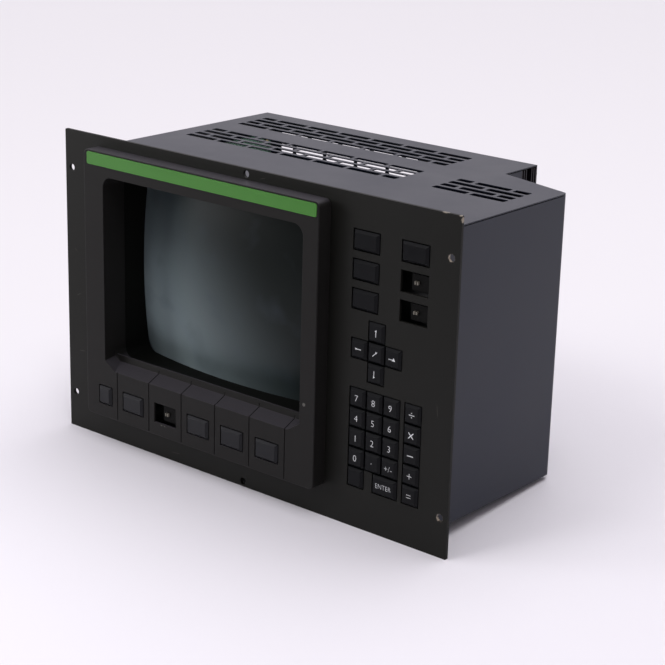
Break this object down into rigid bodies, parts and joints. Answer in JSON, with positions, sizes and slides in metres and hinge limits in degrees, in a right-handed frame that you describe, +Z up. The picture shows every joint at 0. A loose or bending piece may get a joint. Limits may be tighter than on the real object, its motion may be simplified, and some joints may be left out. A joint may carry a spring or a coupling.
{
  "type": "industrial monitor panel",
  "caption": "Rack front plate with a hooded picture tube screen, softkeys, function keys, cursor cross and number pad, and a vented sheet-metal case behind.",
  "frame": {"origin": "centre of the rack hole pattern, in the front plate's front face", "axes": "+X to the viewer's right along the plate, +Y back into the case, +Z up; the screen and keys face -Y"},
  "size_m": [0.4826, 0.295, 0.3104],
  "materials": {
    "plate_paint": "fine satin texture paint, olive black",
    "bezel_plastic": "moulded, satin, olive black",
    "strip_green": "printed film, satin",
    "tube_glass": "grey tinted, bulged",
    "mask_rubber": "moulded black",
    "zinc_steel": "zinc plated",
    "ferrite_copper": "ferrite and varnished copper",
    "board_laminate": "green solder mask",
    "black_moulding": "moulded black",
    "transformer_iron": "varnished laminations",
    "standoff_brass": "nickel plated brass",
    "case_paint": "smooth dark grey enamel on sheet steel",
    "black_anodised": "black anodised extrusion",
    "switch_plastic": "moulded black",
    "plunger_plastic": "moulded ivory",
    "key_plastic": "moulded, satin, near black"
  },
  "bodies": {
    "root": {"board_standoffs": "standoff_brass", "bottom_panel": "case_paint", "case_screws": "zinc_steel", "deflection_board": "board_laminate", "deflection_yoke": "ferrite_copper", "front_plate": "plate_paint", "heat_sink": "black_anodised", "key_switches": "switch_plastic", "keypad_board": "board_laminate", "label_strip": "strip_green", "left_side_panel": "case_paint", "line_transformer": "black_moulding", "neck_board": "board_laminate", "picture_tube": "tube_glass", "power_supply": "transformer_iron", "rear_connectors": "zinc_steel", "rear_panel": "case_paint", "right_side_panel": "case_paint", "screen_bezel": "bezel_plastic", "screen_mask": "mask_rubber", "softkey_board": "board_laminate", "tension_band": "zinc_steel", "top_cover": "case_paint", "tube_posts": "zinc_steel"},
    "blank_key": {"blank_key": "key_plastic"},
    "cursor_centre": {"cursor_centre": "key_plastic"},
    "cursor_down": {"cursor_down": "key_plastic"},
    "cursor_left": {"cursor_left": "key_plastic"},
    "cursor_right": {"cursor_right": "key_plastic"},
    "cursor_up": {"cursor_up": "key_plastic"},
    "enter_key": {"enter_key": "key_plastic"},
    "function_key_1": {"function_key_1": "key_plastic"},
    "function_key_2": {"function_key_2": "key_plastic"},
    "function_key_3": {"function_key_3": "key_plastic"},
    "function_key_4": {"function_key_4": "plunger_plastic"},
    "function_key_5": {"function_key_5": "key_plastic"},
    "function_key_6": {"function_key_6": "plunger_plastic"},
    "key_0": {"key_0": "key_plastic"},
    "key_1": {"key_1": "key_plastic"},
    "key_2": {"key_2": "key_plastic"},
    "key_3": {"key_3": "key_plastic"},
    "key_4": {"key_4": "key_plastic"},
    "key_5": {"key_5": "key_plastic"},
    "key_6": {"key_6": "key_plastic"},
    "key_7": {"key_7": "key_plastic"},
    "key_8": {"key_8": "key_plastic"},
    "key_9": {"key_9": "key_plastic"},
    "key_divide": {"key_divide": "key_plastic"},
    "key_equals": {"key_equals": "key_plastic"},
    "key_minus": {"key_minus": "key_plastic"},
    "key_multiply": {"key_multiply": "key_plastic"},
    "key_plus": {"key_plus": "key_plastic"},
    "key_point": {"key_point": "key_plastic"},
    "key_sign": {"key_sign": "key_plastic"},
    "softkey_1": {"softkey_1": "key_plastic"},
    "softkey_2": {"softkey_2": "key_plastic"},
    "softkey_3": {"softkey_3": "plunger_plastic"},
    "softkey_4": {"softkey_4": "key_plastic"},
    "softkey_5": {"softkey_5": "key_plastic"},
    "softkey_6": {"softkey_6": "key_plastic"}
  },
  "joints": [
    {"name": "blank_key_press", "type": "slide", "parent": "root", "child": "blank_key", "axis": [0, 1, 0], "range_m": [0, 0.002], "stiffness_N_per_m": 250, "springref_m": -0.001},
    {"name": "cursor_centre_press", "type": "slide", "parent": "root", "child": "cursor_centre", "axis": [0, 1, 0], "range_m": [0, 0.002], "stiffness_N_per_m": 250, "springref_m": -0.001},
    {"name": "cursor_down_press", "type": "slide", "parent": "root", "child": "cursor_down", "axis": [0, 1, 0], "range_m": [0, 0.002], "stiffness_N_per_m": 250, "springref_m": -0.001},
    {"name": "cursor_left_press", "type": "slide", "parent": "root", "child": "cursor_left", "axis": [0, 1, 0], "range_m": [0, 0.002], "stiffness_N_per_m": 250, "springref_m": -0.001},
    {"name": "cursor_right_press", "type": "slide", "parent": "root", "child": "cursor_right", "axis": [0, 1, 0], "range_m": [0, 0.002], "stiffness_N_per_m": 250, "springref_m": -0.001},
    {"name": "cursor_up_press", "type": "slide", "parent": "root", "child": "cursor_up", "axis": [0, 1, 0], "range_m": [0, 0.002], "stiffness_N_per_m": 250, "springref_m": -0.001},
    {"name": "enter_key_press", "type": "slide", "parent": "root", "child": "enter_key", "axis": [0, 1, 0], "range_m": [0, 0.002], "stiffness_N_per_m": 250, "springref_m": -0.001},
    {"name": "function_key_1_press", "type": "slide", "parent": "root", "child": "function_key_1", "axis": [0, 1, 0], "range_m": [0, 0.002], "stiffness_N_per_m": 250, "springref_m": -0.001},
    {"name": "function_key_2_press", "type": "slide", "parent": "root", "child": "function_key_2", "axis": [0, 1, 0], "range_m": [0, 0.002], "stiffness_N_per_m": 250, "springref_m": -0.001},
    {"name": "function_key_3_press", "type": "slide", "parent": "root", "child": "function_key_3", "axis": [0, 1, 0], "range_m": [0, 0.002], "stiffness_N_per_m": 250, "springref_m": -0.001},
    {"name": "function_key_4_press", "type": "slide", "parent": "root", "child": "function_key_4", "axis": [0, 1, 0], "range_m": [0, 0.002], "stiffness_N_per_m": 250, "springref_m": -0.001},
    {"name": "function_key_5_press", "type": "slide", "parent": "root", "child": "function_key_5", "axis": [0, 1, 0], "range_m": [0, 0.002], "stiffness_N_per_m": 250, "springref_m": -0.001},
    {"name": "function_key_6_press", "type": "slide", "parent": "root", "child": "function_key_6", "axis": [0, 1, 0], "range_m": [0, 0.002], "stiffness_N_per_m": 250, "springref_m": -0.001},
    {"name": "key_0_press", "type": "slide", "parent": "root", "child": "key_0", "axis": [0, 1, 0], "range_m": [0, 0.002], "stiffness_N_per_m": 250, "springref_m": -0.001},
    {"name": "key_1_press", "type": "slide", "parent": "root", "child": "key_1", "axis": [0, 1, 0], "range_m": [0, 0.002], "stiffness_N_per_m": 250, "springref_m": -0.001},
    {"name": "key_2_press", "type": "slide", "parent": "root", "child": "key_2", "axis": [0, 1, 0], "range_m": [0, 0.002], "stiffness_N_per_m": 250, "springref_m": -0.001},
    {"name": "key_3_press", "type": "slide", "parent": "root", "child": "key_3", "axis": [0, 1, 0], "range_m": [0, 0.002], "stiffness_N_per_m": 250, "springref_m": -0.001},
    {"name": "key_4_press", "type": "slide", "parent": "root", "child": "key_4", "axis": [0, 1, 0], "range_m": [0, 0.002], "stiffness_N_per_m": 250, "springref_m": -0.001},
    {"name": "key_5_press", "type": "slide", "parent": "root", "child": "key_5", "axis": [0, 1, 0], "range_m": [0, 0.002], "stiffness_N_per_m": 250, "springref_m": -0.001},
    {"name": "key_6_press", "type": "slide", "parent": "root", "child": "key_6", "axis": [0, 1, 0], "range_m": [0, 0.002], "stiffness_N_per_m": 250, "springref_m": -0.001},
    {"name": "key_7_press", "type": "slide", "parent": "root", "child": "key_7", "axis": [0, 1, 0], "range_m": [0, 0.002], "stiffness_N_per_m": 250, "springref_m": -0.001},
    {"name": "key_8_press", "type": "slide", "parent": "root", "child": "key_8", "axis": [0, 1, 0], "range_m": [0, 0.002], "stiffness_N_per_m": 250, "springref_m": -0.001},
    {"name": "key_9_press", "type": "slide", "parent": "root", "child": "key_9", "axis": [0, 1, 0], "range_m": [0, 0.002], "stiffness_N_per_m": 250, "springref_m": -0.001},
    {"name": "key_divide_press", "type": "slide", "parent": "root", "child": "key_divide", "axis": [0, 1, 0], "range_m": [0, 0.002], "stiffness_N_per_m": 250, "springref_m": -0.001},
    {"name": "key_equals_press", "type": "slide", "parent": "root", "child": "key_equals", "axis": [0, 1, 0], "range_m": [0, 0.002], "stiffness_N_per_m": 250, "springref_m": -0.001},
    {"name": "key_minus_press", "type": "slide", "parent": "root", "child": "key_minus", "axis": [0, 1, 0], "range_m": [0, 0.002], "stiffness_N_per_m": 250, "springref_m": -0.001},
    {"name": "key_multiply_press", "type": "slide", "parent": "root", "child": "key_multiply", "axis": [0, 1, 0], "range_m": [0, 0.002], "stiffness_N_per_m": 250, "springref_m": -0.001},
    {"name": "key_plus_press", "type": "slide", "parent": "root", "child": "key_plus", "axis": [0, 1, 0], "range_m": [0, 0.002], "stiffness_N_per_m": 250, "springref_m": -0.001},
    {"name": "key_point_press", "type": "slide", "parent": "root", "child": "key_point", "axis": [0, 1, 0], "range_m": [0, 0.002], "stiffness_N_per_m": 250, "springref_m": -0.001},
    {"name": "key_sign_press", "type": "slide", "parent": "root", "child": "key_sign", "axis": [0, 1, 0], "range_m": [0, 0.002], "stiffness_N_per_m": 250, "springref_m": -0.001},
    {"name": "softkey_1_press", "type": "slide", "parent": "root", "child": "softkey_1", "axis": [0, 1, 0], "range_m": [0, 0.002], "stiffness_N_per_m": 250, "springref_m": -0.001},
    {"name": "softkey_2_press", "type": "slide", "parent": "root", "child": "softkey_2", "axis": [0, 1, 0], "range_m": [0, 0.002], "stiffness_N_per_m": 250, "springref_m": -0.001},
    {"name": "softkey_3_press", "type": "slide", "parent": "root", "child": "softkey_3", "axis": [0, 1, 0], "range_m": [0, 0.002], "stiffness_N_per_m": 250, "springref_m": -0.001},
    {"name": "softkey_4_press", "type": "slide", "parent": "root", "child": "softkey_4", "axis": [0, 1, 0], "range_m": [0, 0.002], "stiffness_N_per_m": 250, "springref_m": -0.001},
    {"name": "softkey_5_press", "type": "slide", "parent": "root", "child": "softkey_5", "axis": [0, 1, 0], "range_m": [0, 0.002], "stiffness_N_per_m": 250, "springref_m": -0.001},
    {"name": "softkey_6_press", "type": "slide", "parent": "root", "child": "softkey_6", "axis": [0, 1, 0], "range_m": [0, 0.002], "stiffness_N_per_m": 250, "springref_m": -0.001}
  ]
}
